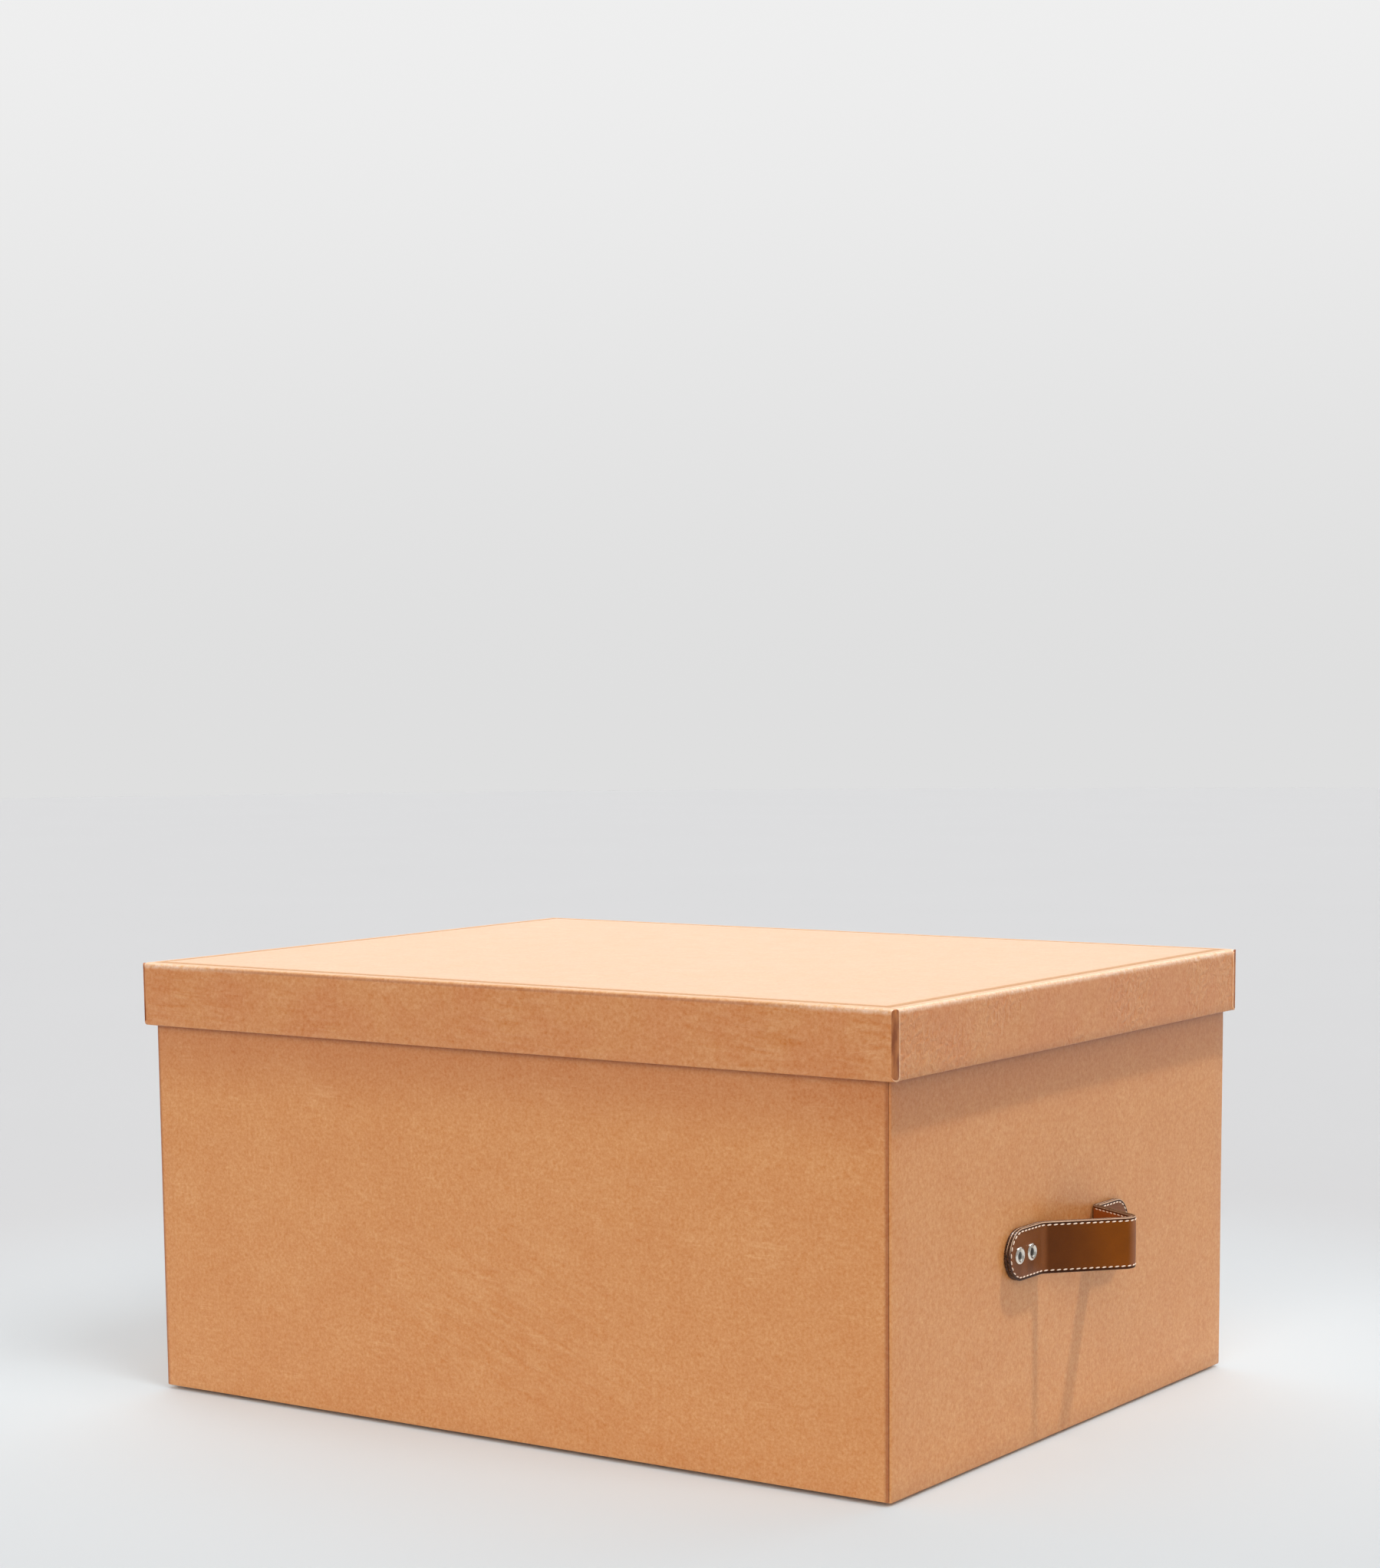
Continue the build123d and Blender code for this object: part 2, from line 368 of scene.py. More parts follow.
def lid_marks_and_painted_light(sheet, colour):
    """Honey top, a painted sheen, with a dull pressed line; a painted highlight on the top edge, strong
    at the ends, darker between.
    """
    painted_sheen_honey = screen_colour(195, 143, 91)
    darkened = screen_colour(160, 92, 48)
    painted_highlight_pale = screen_colour(250, 222, 194)
    x, y, z = sheet.axes(sheet.place())
    from_edge = (lid_high.x - abs(x)).least(lid_high.y - abs(y))
    on_top = top_of_lid(sheet, z)
    # Painted sheen: the top of the lid is coloured a yellower honey for the light on it.
    colour = sheet.mix(on_top, colour, painted_sheen_honey)
    top_edge = 1.0 - sheet.fade(from_edge, 0.6 * mm, 2.2 * mm)
    near_corner = 1.0 - sheet.fade(lid_high.x - abs(x), 8.0 * mm, 95.0 * mm)
    below_band = sheet.fade(z, lid_high.z - 3.0 * mm, lid_high.z - 2.2 * mm)
    above_band = sheet.fade(z, lid_high.z - 1.6 * mm, lid_high.z - 0.9 * mm)
    band = (below_band - above_band) * top_edge
    colour = sheet.mix(0.5 * band * (1.0 - near_corner), colour, darkened)
    # Painted highlight along the rolled top edge, strongest near the ends.
    painted_edge_highlight = sheet.fade(z, lid_high.z - 3.8 * mm, lid_high.z - 1.4 * mm) * top_edge
    colour = sheet.mix(painted_edge_highlight * (0.10 + 0.40 * near_corner), colour, painted_highlight_pale)
    inside_line = sheet.fade(from_edge, pressed_line - 2.0 * mm, pressed_line - 0.5 * mm)
    past_line = sheet.fade(from_edge, pressed_line + 2.0 * mm, pressed_line + 5.0 * mm)
    line = (inside_line - past_line) * on_top
    return sheet.shade(colour, 1.0 - 0.22 * line), 0.30 * line


def greyboard():
    """Dull pulp board with darker specks."""
    material, sheet = new_finish("greyboard")
    fibres = sheet.noise(sheet.place(turn=(10, 20, 30), stretch=(5, 1, 1)), 0.0012, detail=3.0)
    specks = sheet.fade(sheet.noise(sheet.place(), 0.0016, detail=1.0), 0.66, 0.72)
    colour = sheet.mix(specks, screen_colour(158, 150, 138), screen_colour(96, 88, 78))
    sheet.surface(
        Base_Color=sheet.shade(colour, 0.88 + 0.24 * fibres),
        Roughness=0.9,
        Normal=sheet.bump(fibres, 0.1 * mm),
    )
    return material


def lining_cloth():
    """Plain weave in natural linen."""
    thread_pitch = 0.9 * mm
    material, sheet = new_finish("lining cloth")
    turns = 2.0 * math.pi / thread_pitch
    x, y, z = [(axis * turns).sine() for axis in sheet.axes(sheet.place())]
    weave = x * y + y * z + z * x
    slubs = sheet.noise(sheet.place(stretch=(1, 1, 9)), 0.0011, detail=2.0)
    colour = sheet.mix(slubs, screen_colour(214, 196, 164), screen_colour(232, 219, 194))
    sheet.surface(
        Base_Color=sheet.shade(colour, 0.94 + 0.05 * weave),
        Roughness=0.95,
        Normal=sheet.bump(weave, 0.08 * mm),
    )
    return material


def strap_leather(name, foot, arch, tab, length):
    """Oiled brown leather: dark rims, painted glow up the arch, painted sheen at its rougher bend,
    painted edge highlight.

    The three colours, set apart by painted light, are for the foot of the arch, its top and the riveted
    tabs.
    """
    rim_colour = screen_colour(36, 18, 10)
    top_edge_highlight_colour = screen_colour(206, 168, 138)
    apex_sheen_colour = screen_colour(146, 92, 60)
    half_width = strap_width / 2
    material, sheet = new_finish(name)
    flat = sheet.node("ShaderNodeUVMap", uv_map="flat")
    along = sheet.axis(flat, "X")
    across = sheet.axis(flat, "Y")
    grain = sheet.noise(flat, 0.0009, detail=3.0, roughness=0.6)
    cloud = sheet.noise(flat, 0.012, detail=3.0)

    apex = tab_length + math.hypot(arch_reach, strap_span / 2 - tab_length + apex_lean)
    # Painted glow: warmer and lighter up the arch, away from its foot.
    on_arch = sheet.mix(sheet.fade(along, tab_length + 4.0 * mm, apex - 8.0 * mm), foot, arch)
    # Painted sheen: a pale band across the bend at the top of the arch, which is also rougher there.
    apex_sheen = sheet.fade(5.0 * mm - abs(along - apex), -2.0 * mm, 2.0 * mm)
    on_arch = sheet.mix(0.75 * apex_sheen, on_arch, apex_sheen_colour)
    ends = 1.0 - sheet.fade(along, tab_length - 1.0 * mm, tab_length + 2.0 * mm)
    far_tab = length - tab_length
    ends = ends + sheet.fade(along, far_tab - 2.0 * mm, far_tab + 1.0 * mm)
    colour = sheet.mix(ends, on_arch, tab)

    past_straight = abs(along - length / 2) - (length - strap_width) / 2
    beyond = past_straight.most(0.0)
    from_spine = (beyond * beyond + across * across).root()
    rim = sheet.fade(from_spine, half_width - 1.5 * mm, half_width - 1.0 * mm)
    colour = sheet.mix(0.8 * rim, colour, rim_colour)
    # Painted highlight along the upper edge only, where the light from above catches it.
    lip = sheet.fade(from_spine, half_width - 0.55 * mm, half_width - 0.35 * mm)
    lip = lip * sheet.fade(across, 0.0, 5.0 * mm)
    colour = sheet.mix(0.8 * lip, colour, top_edge_highlight_colour)
    sheet.surface(
        Base_Color=sheet.shade(colour, 0.70 + 0.40 * cloud + 0.20 * grain),
        Roughness=0.34 + 0.12 * (cloud - 0.5) + 0.2 * apex_sheen,
        IOR=1.45,
        Specular_IOR_Level=0.18,
        Normal=sheet.bump(grain, 0.08 * mm),
    )
    return material


def burnished_edge():
    """Cut leather edge, inked dark and rubbed smooth."""
    material, sheet = new_finish("burnished edge")
    layers = sheet.noise(sheet.place(), 0.0009, detail=2.0)
    inked = sheet.fade(layers, 0.35, 0.65)
    colour = sheet.mix(inked, screen_colour(20, 11, 8), screen_colour(74, 46, 32))
    sheet.surface(Base_Color=colour, Roughness=0.26, IOR=1.55, Normal=sheet.bump(layers, 0.1 * mm))
    return material


def corner_strip_leather():
    """Dark brown leather of the corner beads."""
    material, sheet = new_finish("corner strip leather")
    grain = sheet.noise(sheet.place(), 0.0006, detail=3.0)
    runs = sheet.noise(sheet.place(stretch=(1, 1, 4)), 0.0026, detail=3.0)
    worn = sheet.fade(runs, 0.3, 0.7)
    colour = sheet.mix(worn, screen_colour(132, 70, 32), screen_colour(184, 116, 64))
    sheet.surface(Base_Color=colour, Roughness=0.45, Normal=sheet.bump(grain, 0.08 * mm))
    return material


def waxed_thread():
    """Pale twisted thread."""
    material, sheet = new_finish("waxed thread")
    twist = sheet.noise(sheet.place(turn=(0, 35, 0), stretch=(3, 1, 1)), 0.00025, detail=1.0)
    colour = sheet.mix(twist, screen_colour(206, 178, 156), screen_colour(246, 224, 204))
    sheet.surface(Base_Color=colour, Roughness=0.6, Normal=sheet.bump(twist, 0.05 * mm))
    return material


def nickel():
    """Nickel plate with rub marks, bright on the rim and dark in the dish of each cap."""
    bright = (0.86, 0.82, 0.74, 1.0)
    dark_in_dish = (0.10, 0.095, 0.085, 1.0)
    material, sheet = new_finish("nickel")
    radius = sheet.axis(sheet.node("ShaderNodeUVMap", uv_map="turned"), "X")
    dish = 1.0 - sheet.fade(radius, 1.5 * mm, 2.6 * mm)
    rubs = sheet.noise(sheet.place(turn=(0, 0, 20), stretch=(1, 5, 1)), 0.0006, detail=2.0)
    colour = sheet.mix(dish, bright, dark_in_dish)
    sheet.surface(
        Base_Color=sheet.shade(colour, 0.85 + 0.25 * rubs),
        Metallic=1.0,
        Roughness=0.16 + 0.10 * rubs + 0.15 * dish,
    )
    return material


# ---- Mesh tools ----

def block(low, high):
    """Box between two corners."""
    bm = bmesh.new()
    bmesh.ops.create_cube(bm, size=1.0)
    bmesh.ops.scale(bm, vec=high - low, verts=bm.verts)
    bmesh.ops.translate(bm, vec=(low + high) / 2, verts=bm.verts)
    return bm


def round_edges(bm, radius, segments, chosen):
    edges = [edge for edge in bm.edges if chosen(edge)]
    bmesh.ops.bevel(
        bm, geom=edges, offset=radius, segments=segments, profile=0.5, affect="EDGES", material=-1
    )


def is_upright(edge):
    a, b = (v.co for v in edge.verts)
    return abs(a.z - b.z) > abs(a.x - b.x) + abs(a.y - b.y)


def is_level(height):
    """Test for edges and faces that lie at a height."""
    return lambda part: all(abs(v.co.z - height) < weld for v in part.verts)


def slice_at(bm, spot, normal, **options):
    """Cut the whole mesh through by a plane."""
    geometry = [*bm.verts, *bm.edges, *bm.faces]
    bmesh.ops.bisect_plane(
        bm, geom=geometry, plane_co=spot, plane_no=normal, dist=cut_snap, **options
    )


def cut(bm, axis, places):
    """Add a loop of edges at each place along an axis."""
    normal = Vector([1.0 if name == axis else 0.0 for name in "xyz"])
    for place in places:
        slice_at(bm, normal * place, normal)


def spread(low, high, step):
    """Even places between two ends, about a step apart, without the ends."""
    count = max(1, round((high - low) / step))
    return [low + (high - low) * i / count for i in range(1, count)]


def level_faces(bm, height):
    return [face for face in bm.faces if is_level(height)(face)]


def remove_level_faces(bm, height):
    bmesh.ops.delete(bm, geom=level_faces(bm, height), context="FACES")


def made_verts(result):
    """The vertices among what an operator made."""
    return [made for made in result["geom"] if isinstance(made, bmesh.types.BMVert)]


def made_edges(result):
    return [made for made in result["geom"] if isinstance(made, bmesh.types.BMEdge)]


def fold_in(bm, height, half_x, half_y, reach):
    """Turn an opening's edge inwards to a rectangle and then up or down inside, as leather is."""
    opening = [edge for edge in bm.edges if edge.is_boundary and is_level(height)(edge)]
    turned = bmesh.ops.extrude_edge_only(bm, edges=opening)
    for v in made_verts(turned):
        v.co.x = min(max(v.co.x, -half_x), half_x)
        v.co.y = min(max(v.co.y, -half_y), half_y)
    inside = bmesh.ops.extrude_edge_only(bm, edges=made_edges(turned))
    bmesh.ops.translate(bm, vec=(0, 0, reach), verts=made_verts(inside))
    bmesh.ops.remove_doubles(bm, verts=made_verts(turned) + made_verts(inside), dist=weld)


def ripple(bm, depth, size, chosen=lambda v: True):
    """Let a skin sink unevenly by up to a depth, as leather does on board."""
    bm.normal_update()
    moves = {}
    for v in bm.verts:
        if chosen(v):
            wave = noise.noise(v.co / size) + 0.5 * noise.noise(v.co / (0.4 * size))
            moves[v] = -v.normal * depth * min(max(0.5 + 0.5 * wave, 0.0), 1.0)
    for v, move in moves.items():
        v.co += move


def finish_piece(name, bm, finishes, body, slot, *nodes):
    """Turn a bmesh into a piece that rides on a body and stands for its nodes."""
    mesh = bpy.data.meshes.new(name)
    bm.to_mesh(mesh)
    bm.free()
    for finish in finishes:
        mesh.materials.append(finish)
    mesh.shade_smooth()
    mesh.set_sharp_from_angle(angle=math.radians(40.0))
    piece = bpy.data.objects.new(name, mesh)
    bpy.context.scene.collection.objects.link(piece)
    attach(piece, body)
    if nodes:
        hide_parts(*nodes)
    return piece


def thicken(piece, thickness, is_pared):
    """Give a skin its thickness, inwards, or less where it is pared."""
    group = piece.vertex_groups.new(name="full thickness")
    full = [v.index for v in piece.data.vertices if not is_pared(v.co)]
    group.add(full, 1.0, "REPLACE")
    solid = piece.modifiers.new("thickness", "SOLIDIFY")
    solid.thickness = thickness
    solid.offset = -1.0
    solid.use_even_offset = True
    solid.vertex_group = group.name
    solid.thickness_vertex_group = pared / thickness


# ---- Lid ----

lid_low, lid_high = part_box("lid_leather")
lid_leather_thickness = lid_high.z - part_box("lid_top_board")[1].z
lid_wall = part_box("lid_front_board")[1].y - lid_low.y
lid_turn_in = 14.0 * mm
lid_corner_radius = 3.2 * mm
lid_edge_radius = 2.2 * mm
pressed_line = 6.0 * mm
margin_end = 13.5 * mm

# Loops of edges across the lid's top, as millimetres from its edge, close where it is shaped.
lid_loops = (3.0, 4.5, 5.3, 6.0, 6.7, 7.5, 9.0, 10.5, 12.0, 13.5, 15.0, 17.0, 19.5, 22.0, 25.0, 28.0)


def lid_top_height(v):
    """How far the top lies above flat: a low margin with a pressed line in it, and a crest behind."""
    from_edge = min(lid_high.x - abs(v.co.x), lid_high.y - abs(v.co.y))

    def rise(low, high):
        share = min(max((from_edge - low) / (high - low), 0.0), 1.0)
        return share * share * (3.0 - 2.0 * share)

    line = max(0.0, 1.0 - abs(from_edge - pressed_line) / (1.4 * mm))
    margin = 0.20 * mm * (rise(pressed_line, margin_end) - 1.0)
    return margin - 0.16 * mm * line - 0.08 * mm * rise(17.0 * mm, 27.0 * mm)


def make_lid(leather):
    """Leather over the lid: one sheet over the top and the skirt, turned in round the skirt's edge."""
    foot_radius = 0.8 * mm
    inner_x = lid_high.x - lid_wall
    inner_y = lid_high.y - lid_wall
    bm = block(lid_low, lid_high)
    round_edges(bm, lid_corner_radius, 8, is_upright)
    round_edges(bm, lid_edge_radius, 6, is_level(lid_high.z))
    round_edges(bm, foot_radius, 3, is_level(lid_low.z))
    for axis, half in (("x", lid_high.x), ("y", lid_high.y)):
        close = [half - loop * mm for loop in lid_loops]
        cut(bm, axis, [*close, *[-c for c in close], *spread(-close[-1], close[-1], 11.0 * mm)])
    cut(bm, "z", spread(lid_low.z + foot_radius, lid_high.z - lid_edge_radius, 4.0 * mm))
    remove_level_faces(bm, lid_low.z)
    ripple(bm, 0.20 * mm, 0.09)
    for v in bm.verts:
        if v.co.z > lid_high.z - 0.5 * mm:
            v.co.z += lid_top_height(v)
    fold_in(bm, lid_low.z, inner_x - pared, inner_y - pared, lid_turn_in)
    lid = finish_piece("lid_cover_leather", bm, [leather], "lid", "tan_leather", "lid_leather")

    def turned_in(p):
        low_down = p.z < lid_low.z + 1.1 * lid_turn_in
        return low_down and abs(p.x) < inner_x and abs(p.y) < inner_y

    thicken(lid, lid_leather_thickness, turned_in)


# ---- Box ----

box_low, box_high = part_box("front_leather")
box_half = Vector((box_high.x, -box_low.y, 0))
rim = box_high.z
leather_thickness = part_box("base_board")[0].z
board_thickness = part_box("base_board")[1].z - leather_thickness
wall_thickness = leather_thickness + board_thickness
box_turn_in = 22.0 * mm
seam_depth = 0.22 * mm


def box_skin():
    """The whole skin of the box in one: four walls, folded over the rim and down inside."""
    low = Vector((-box_half.x, -box_half.y, 0))
    high = Vector((box_half.x, box_half.y, rim))
    bm = block(low, high)
    round_edges(bm, 2.5 * mm, 8, is_upright)
    round_edges(bm, 0.9 * mm, 3, is_level(rim))
    round_edges(bm, 0.7 * mm, 3, is_level(0.0))
    for axis, half in (("x", box_half.x), ("y", box_half.y)):
        cut(bm, axis, spread(-half + 3.0 * mm, half - 3.0 * mm, 9.0 * mm))
    cut(bm, "z", spread(1.0 * mm, rim - 1.0 * mm, 9.0 * mm))
    remove_level_faces(bm, 0.0)
    remove_level_faces(bm, rim)
    ripple(bm, 0.25 * mm, 0.10, lambda v: v.co.z < rim - 2.0 * mm)
    inner = wall_thickness + pared
    fold_in(bm, rim, box_half.x - inner, box_half.y - inner, -box_turn_in)
    return bm


def keep_side(bm, side):
    """Cut a skin at the mitred corners, keep the panel of one side and sink its seams a little."""
    ways = {"front": (0, -1), "back": (0, 1), "left": (-1, 0), "right": (1, 0)}
    x, y = ways[side]
    for turn in (-1, 1):
        corner = Vector(((x - turn * y) * box_half.x, (y + turn * x) * box_half.y, 0))
        across = Vector((corner.x / box_half.x, corner.y / box_half.y, 0))
        away = Vector((-across.y, across.x, 0)) * turn
        slice_at(bm, corner, away, clear_outer=True)
        for v in bm.verts:
            at_seam = abs((v.co - corner).dot(away)) < weld
            on_skin = min(abs(v.co.x) - box_half.x, abs(v.co.y) - box_half.y) > -2.0 * mm
            if at_seam and on_skin:
                v.co -= across.normalized() * seam_depth


def make_walls(leather):
    """Leather of the four walls, which meet at mitred seams."""
    inner_x = box_half.x - wall_thickness
    inner_y = box_half.y - wall_thickness
    for side in ("front", "back", "left", "right"):
        bm = box_skin()
        keep_side(bm, side)
        node = side + "_leather"
        panel = finish_piece(side + "_wall_leather", bm, [leather], "box", "tan_leather", node)
        thicken(panel, leather_thickness, lambda p: abs(p.x) < inner_x and abs(p.y) < inner_y)


# ---- Plates with round ends, flat before they are bent ----

def round_ended_plate(length, width, low, high, segments=48):
    """Flat plate with full-round ends, from x = 0 to its length, and from low to high in z."""
    bm = bmesh.new()
    half_step = Matrix.Rotation(math.pi / segments, 4, "Z")
    bmesh.ops.create_circle(bm, cap_ends=True, segments=segments, radius=width / 2, matrix=half_step)
    for v in bm.verts:
        v.co.x += math.copysign((length - width) / 2, v.co.x) + length / 2
        v.co.z = low
    raised = bmesh.ops.extrude_face_region(bm, geom=bm.faces[:])
    bmesh.ops.translate(bm, vec=(0, 0, high - low), verts=made_verts(raised))
    bmesh.ops.recalc_face_normals(bm, faces=bm.faces)
    return bm


def press(bm, height, steps):
    """Step inwards over the largest face at a height: each step has a width and a rise."""
    face = max(level_faces(bm, height), key=lambda f: f.calc_area())
    for width, rise in steps:
        bmesh.ops.inset_region(bm, faces=[face], thickness=width, depth=rise, use_even_offset=True)


def bend_plate(bm, route):
    """Carry each point of a flat plate to its bent place, and keep the flat place as a map."""
    layer = bm.loops.layers.uv.new("flat")
    for face in bm.faces:
        for loop in face.loops:
            loop[layer].uv = (loop.vert.co.x, loop.vert.co.y)
    for v in bm.verts:
        v.co = route(v.co)


# ---- Corner beads of the lid ----

bead_foot = lid_low.z + 0.9 * mm
bead_height = lid_high.z - 0.5 * mm - bead_foot
bead_sunk = 0.5 * mm


def around_corner(sign_x, sign_y, foot, shift):
    """Route that wraps a flat plate round an upright corner of the lid: x goes up, y goes round."""
    radius = lid_corner_radius
    centre = Vector((lid_high.x - radius, lid_high.y - radius, 0))

    def route(p):
        angle = math.pi / 4 + (p.y + shift) / radius
        on_bend = min(max(angle, 0.0), math.pi / 2)
        out = Vector((math.cos(on_bend), math.sin(on_bend), 0))
        spot = centre + out * (radius + p.z)
        if angle > math.pi / 2:
            spot.x -= (angle - math.pi / 2) * radius
        elif angle < 0.0:
            spot.y += angle * radius
        return Vector((sign_x * spot.x, sign_y * spot.y, foot + p.x))

    return route


def make_corner_layer(width, proud, route):
    """One layer of a corner bead: a flat plate with round ends and rounded edges, wrapped round."""
    bm = round_ended_plate(bead_height, width, -bead_sunk, proud, segments=24)
    round_edges(bm, 0.6 * proud, 3, is_level(proud))
    cut(bm, "y", spread(-width / 2, width / 2, 0.35 * mm))
    cut(bm, "x", spread(0.0, bead_height, 3.0 * mm))
    bend_plate(bm, route)
    bmesh.ops.recalc_face_normals(bm, faces=bm.faces)
    return bm


def make_corner_beads(strip, leather):
    """A dark bead down each corner of the lid, on a lip painted pale as a highlight, which shows at one
    side and below.
    """
    for depth, sign_y in (("front", -1), ("back", 1)):
        for side, sign_x in (("left", -1), ("right", 1)):
            corner = depth + "_" + side
            route = around_corner(sign_x, sign_y, bead_foot, -1.2 * mm)
            bead = make_corner_layer(4.0 * mm, 0.42 * mm, route)
            node = "lid_corner_strip_" + corner
            finish_piece("lid_corner_bead_" + corner, bead, [strip], "lid", "edge_leather", node)
            route = around_corner(sign_x, sign_y, bead_foot - 0.8 * mm, -1.75 * mm)
            lip = make_corner_layer(5.0 * mm, 0.22 * mm, route)
            finish_piece("lid_corner_lip_" + corner, lip, [leather], "lid", "tan_leather")


# ---- Handle straps ----

end_face = box_half.x
strap_low, strap_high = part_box("right_handle_strap")
strap_middle = (strap_low.z + strap_high.z) / 2
strap_width = strap_high.z - strap_low.z
strap_start = strap_low.y
strap_span = strap_high.y - strap_low.y
tab_length = 34.0 * mm
arch_reach = 33.0 * mm
apex_lean = 8.75 * mm
lining_ply = 1.5 * mm
strap_stack = 3.2 * mm
thread_proud = 0.35 * mm
stitch_inset = 1.6 * mm
stitch_pitch = 3.3 * mm
stitch_length = 2.3 * mm
stitch_width = 0.72 * mm
stitch_slant = 0.12
wall_side_radii = (8.95 * mm, 4.5 * mm, 4.55 * mm)

# A run or a bend of the strap: its length along one face, the part of it that is straight, and the
# angle and the radius that it turns by.
Step = namedtuple("Step", "length straight turn radius")


class StrapLine:
    """The strap seen from above, measured along the face at one height off the wall."""

    def __init__(self, height):
        middle = strap_start + strap_span / 2
        corners = [
            Vector((0, strap_start)),
            Vector((0, strap_start + tab_length)),
            Vector((arch_reach, middle + apex_lean)),
            Vector((0, strap_start + strap_span - tab_length)),
            Vector((0, strap_start + strap_span)),
        ]
        runs = [b - a for a, b in zip(corners, corners[1:])]
        headings = [math.atan2(run.x, run.y) for run in runs]
        turns = [b - a for a, b in zip(headings, headings[1:])]
        trims = [r * math.tan(abs(t) / 2) for r, t in zip(wall_side_radii, turns)]
        self.steps = []
        for i, run in enumerate(runs):
            before = trims[i - 1] if i > 0 else 0.0
            after = trims[i] if i < len(trims) else 0.0
            straight = run.length - before - after
            self.steps.append(Step(straight, straight, 0.0, 0.0))
            if i < len(turns):
                radius = math.copysign(wall_side_radii[i], turns[i])
                self.steps.append(Step(abs(turns[i]) * abs(radius - height), 0.0, turns[i], radius))
        self.length = sum(step.length for step in self.steps)

    def place(self, along, height):
        """How far out from the wall, and how far along it, a point of the strap lies."""
        spot = Vector((0, strap_start))
        heading = 0.0
        for step in self.steps:
            share = min(max(along / step.length, 0.0), 1.0)
            forward = Vector((math.sin(heading), math.cos(heading)))
            outward = Vector((math.cos(heading), -math.sin(heading)))
            spot = spot + forward * step.straight * share + outward * step.radius
            heading += step.turn * share
            outward = Vector((math.cos(heading), -math.sin(heading)))
            spot = spot - outward * step.radius
            along -= step.length
            if along <= 0.0:
                break
        return spot + outward * height

    def joints(self, run_step, bend_parts):
        """Places along the strap where it needs a loop of edges to bend well."""
        places = []
        start = 0.0
        for step in self.steps:
            parts = bend_parts if step.turn else max(1, round(step.length / run_step))
            places += [start + step.length * i / parts for i in range(parts + 1)]
            start += step.length
        return sorted(set(round(p, 7) for p in places))[1:-1]

    def route(self, sign):
        """Route that bends a flat plate to the strap's shape on the right end, or the left for -1."""
        def carry(p):
            out, y = self.place(p.x, p.z)
            return Vector((sign * (end_face + out), y, strap_middle + p.y))

        return carry


def is_rim(length, low, high):
    """Test for edges on the outline of a flat ply's upper or lower face."""
    half = strap_width / 2

    def at_outline(v):
        x = min(max(v.co.x, half), length - half)
        return math.hypot(v.co.x - x, v.co.y) > 0.985 * half

    def test(edge):
        level = is_level(low)(edge) or is_level(high)(edge)
        return level and all(at_outline(v) for v in edge.verts)

    return test


def make_ply(name, line, low, high, pressed, finishes, sign, slot, node):
    """One ply of a strap: flat round-ended leather, its edges rounded, then bent to shape.

    Pressed holds the steps to press into the face at each height.
    """
    bm = round_ended_plate(line.length, strap_width, low, high)
    for height, steps in pressed.items():
        press(bm, height, steps)
    for face in bm.faces:
        face.material_index = 0 if abs(face.normal.z) > 0.5 else 1
    round_edges(bm, 0.42 * mm, 3, is_rim(line.length, low, high))
    cut(bm, "x", line.joints(3.0 * mm, 12))
    bend_plate(bm, line.route(sign))
    if sign < 0:
        bmesh.ops.reverse_faces(bm, faces=bm.faces)
    finish_piece(name, bm, finishes, "box", slot, node)


def add_stitch(bm, x, y, angle, height):
    """One stitch on the flat plate, as a small rounded bead of thread."""
    spot = Matrix.Translation((x, y, height))
    turned = Matrix.Rotation(angle + stitch_slant, 4, "Z")
    size = Matrix.Diagonal((stitch_length / 2, stitch_width / 2, stitch_width / 2, 1.0))
    lying = Matrix.Rotation(math.pi / 2, 4, "Y")
    matrix = spot @ turned @ size @ lying
    bmesh.ops.create_uvsphere(bm, u_segments=8, v_segments=6, radius=1.0, matrix=matrix)


def add_loop_stitches(bm, length, height):
    """Stitches all the way round the outline of a flat plate."""
    radius = strap_width / 2 - stitch_inset
    straight = length - strap_width
    around = 2 * straight + 2 * math.pi * radius
    count = round(around / stitch_pitch)
    for i in range(count):
        at = around * (i + 0.5) / count
        side = 1 if at < around / 2 else -1
        at = at if side > 0 else at - around / 2
        if at < straight:
            x, y, angle = at, -radius, 0.0
        else:
            angle = (at - straight) / radius
            x, y = straight + radius * math.sin(angle), -radius * math.cos(angle)
        middle = straight / 2
        x, y = middle + side * (x - middle), side * y
        add_stitch(bm, x + strap_width / 2, y, angle, height)


def add_inner_stitches(bm, line, height):
    """Two rows of stitches on the inside of the arch, where it stands clear of the wall."""
    clear = 2.6 * mm
    from_middle = strap_width / 2 - stitch_inset
    count = round(line.length / stitch_pitch)
    for i in range(count):
        x = line.length * (i + 0.5) / count
        if line.place(x, 0.0)[0] > clear:
            add_stitch(bm, x, from_middle, 0.0, height)
            add_stitch(bm, x, -from_middle, 0.0, height)


def make_stitching(side, sign, finish):
    """The thread of one handle: a loop on the outer face and two rows inside the arch."""
    outer = StrapLine(strap_stack)
    inner = StrapLine(0.0)
    bm = bmesh.new()
    add_loop_stitches(bm, outer.length, strap_stack + thread_proud - stitch_width / 2)
    bend_plate(bm, outer.route(sign))
    inside = bmesh.new()
    add_inner_stitches(inside, inner, stitch_width / 2 - thread_proud)
    bend_plate(inside, inner.route(sign))
    spare = bpy.data.meshes.new("inner rows")
    inside.to_mesh(spare)
    inside.free()
    bm.from_mesh(spare)
    bpy.data.meshes.remove(spare)
    bmesh.ops.recalc_face_normals(bm, faces=bm.faces)
    node = side + "_handle_stitching"
    finish_piece(side + "_handle_thread", bm, [finish], "box", "thread", node)


# ---- Rivets ----

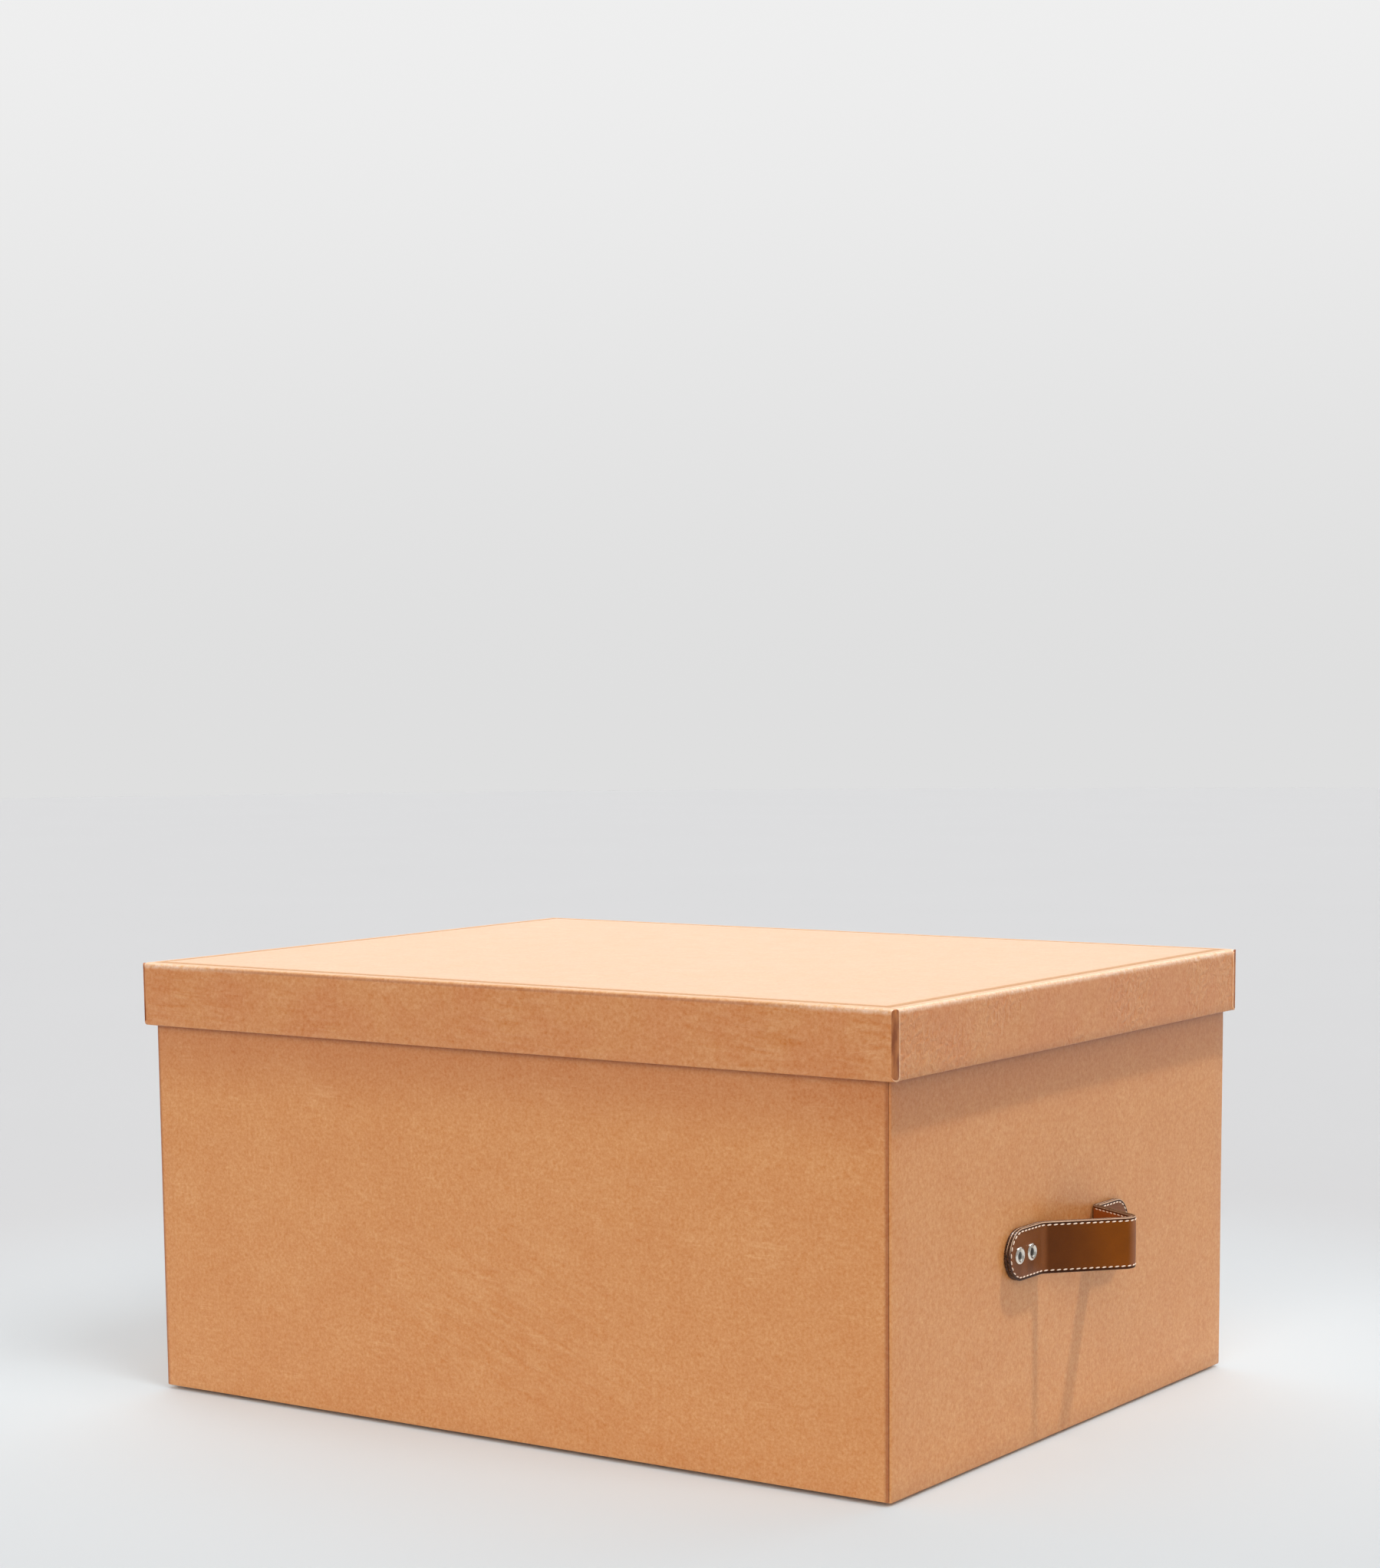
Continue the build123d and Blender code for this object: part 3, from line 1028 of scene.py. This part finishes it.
cap_radius = 4.25 * mm
post_radius = 1.6 * mm
socket_depth = 0.7 * mm
rivet_spacing = 12.0 * mm
lining_thickness = 0.4 * mm
wall_inside = -(wall_thickness + lining_thickness)


def turned_part(profile, spots, sign):
    """Spin a profile of (out from the wall, radius) points about each rivet's axis, with a map."""
    bm = bmesh.new()
    for y in spots:
        verts = [bm.verts.new((end_face + out, y, strap_middle + radius)) for out, radius in profile]
        edges = [bm.edges.new(pair) for pair in zip(verts, verts[1:])]
        bmesh.ops.spin(
            bm, geom=[*verts, *edges], cent=(end_face, y, strap_middle), axis=(1, 0, 0),
            angle=2 * math.pi, steps=40, use_merge=True,
        )
    bmesh.ops.remove_doubles(bm, verts=bm.verts, dist=0.005 * mm)
    layer = bm.loops.layers.uv.new("turned")
    for face in bm.faces:
        for loop in face.loops:
            spot = loop.vert.co
            radius = min(math.hypot(spot.y - y, spot.z - strap_middle) for y in spots)
            loop[layer].uv = (radius, spot.x - end_face)
    bmesh.ops.scale(bm, vec=(sign, 1, 1), verts=bm.verts)
    bmesh.ops.recalc_face_normals(bm, faces=bm.faces)
    return bm


def arc(centre_out, centre_radius, radius, start, end, count):
    """Points on an arc of a profile, by its angle in degrees from the outward axis."""
    angles = [math.radians(start + (end - start) * i / (count - 1)) for i in range(count)]
    return [(centre_out + radius * math.cos(a), centre_radius + radius * math.sin(a)) for a in angles]


def post_or_socket(top):
    """Profile of a rivet's post, or of the socket that takes it, from the post's end to a height."""
    end = wall_inside - socket_depth
    return [(end, 0.0), (end, post_radius), (top, post_radius)]


def cap_profile(face):
    """Dished cap with a rolled rim on its post, standing on the strap's face."""
    roll = 0.95 * mm
    dish_edge = 0.4 * mm
    cap = [*post_or_socket(face), (face, cap_radius - 0.15 * mm)]
    cap += arc(face + 0.3 * mm, cap_radius - roll, roll, 105, -70, 12)
    cap += arc(face + 0.75 * mm, cap_radius - 2.25 * mm, dish_edge, 120, 180, 4)
    cap += [(face + 0.30 * mm, 1.2 * mm), (face + 0.32 * mm, 0.6 * mm), (face + 0.33 * mm, 0.0)]
    return cap


def back_cap_profile():
    """Plain cap pressed over the end of the post inside the box."""
    height = 1.2 * mm
    edge = 0.6 * mm
    cap = [*post_or_socket(wall_inside), (wall_inside, cap_radius)]
    cap += arc(wall_inside - height + edge, cap_radius - edge, edge, 90, 180, 6)
    cap += [(wall_inside - height, 0.0)]
    return cap


def make_rivets(side, sign, finish):
    """The four rivets of one handle, two in each tab, with their caps on both sides of the wall."""
    low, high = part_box("right_handle_rivets")
    first = low.y + cap_radius
    last = high.y - cap_radius
    spots = [first, first + rivet_spacing, last - rivet_spacing, last]
    caps = turned_part(cap_profile(strap_stack), spots, sign)
    finish_piece(side + "_rivet_caps", caps, [finish], "box", "nickel", side + "_handle_rivets")
    backs = turned_part(back_cap_profile(), spots, sign)
    node = side + "_handle_rivet_backs"
    finish_piece(side + "_rivet_back_caps", backs, [finish], "box", "nickel", node)


def make_handles():
    """A strap of two plies with its stitching and rivets, on each end of the box."""
    outer = StrapLine(strap_stack)
    inner = StrapLine(0.0)
    thread = waxed_thread()
    metal = nickel()
    edge = burnished_edge()
    # Each ply's colours for the foot of the arch, its top and the tabs differ by painted light.
    outer_colours = (screen_colour(92, 46, 8), screen_colour(124, 64, 0), screen_colour(122, 70, 34))
    inner_colours = (screen_colour(132, 66, 26), screen_colour(150, 80, 30), screen_colour(100, 56, 34))
    outer_finish = strap_leather("strap leather", *outer_colours, outer.length)
    inner_finish = strap_leather("strap lining leather", *inner_colours, inner.length)
    channel = [(0.8 * mm, 0.0), (0.25 * mm, -0.10 * mm), (0.45 * mm, -0.06 * mm), (0.5 * mm, 0.14 * mm)]
    crown = [(0.8 * mm, 0.03 * mm), (2.5 * mm, 0.05 * mm), (3.0 * mm, 0.02 * mm)]
    for side, sign in (("right", 1), ("left", -1)):
        make_ply(
            side + "_handle_outer_ply", outer, lining_ply, strap_stack, {strap_stack: channel + crown},
            [outer_finish, edge], sign, "strap_leather", side + "_handle_strap",
        )
        make_ply(
            side + "_handle_inner_ply", inner, 0.0, lining_ply, {},
            [inner_finish, edge], sign, "strap_lining", side + "_handle_strap_lining",
        )
        make_stitching(side, sign, thread)
        make_rivets(side, sign, metal)


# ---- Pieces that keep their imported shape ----

def dress_nodes(finish, names):
    """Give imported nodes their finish."""
    for name in names:
        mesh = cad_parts[name].data
        mesh.materials.clear()
        mesh.materials.append(finish)


def dress_structure(leather):
    """Boards, linings and the leather under the base."""
    places = ["base", "lid_top"]
    places += [start + wall for start in ("", "lid_") for wall in ("front", "back", "left", "right")]
    dress_nodes(greyboard(), [place + "_board" for place in places])
    dress_nodes(lining_cloth(), [place + "_lining" for place in places])
    dress_nodes(leather, ["base_leather"])


# ---- The whole scene ----

make_camera()
light_studio()
steep_lamp = sun("steep lamp", (1.0, 1.1, 5.3), 3.1, 2.5, glossy=True)
floor_lamp = sun("floor lamp", (0.9, -0.15, 0.95), 1.1, 35.0)
sun("front lamp", (0.45, -1.0, 0.5), 1.5, 50.0, tint=(1.0, 0.95, 0.90))
light_floor_apart(make_floor(), steep_lamp, floor_lamp)

box_leather = tan_leather(
    "box leather", screen_colour(212, 147, 90), screen_colour(209, 142, 85), 20, 0.4, box_marks_and_painted_shade
)
lid_leather = tan_leather(
    "lid leather", screen_colour(206, 141, 87), screen_colour(202, 132, 80), 4, 1.6, lid_marks_and_painted_light
)
# The lip's pale colour is a painted highlight along the edge of each corner bead.
lip_leather_painted_pale = tan_leather(
    "lip leather", screen_colour(230, 182, 140), screen_colour(224, 170, 128), 0, 0.0
)
make_lid(lid_leather)
make_corner_beads(corner_strip_leather(), lip_leather_painted_pale)
make_walls(box_leather)
make_handles()
dress_structure(box_leather)
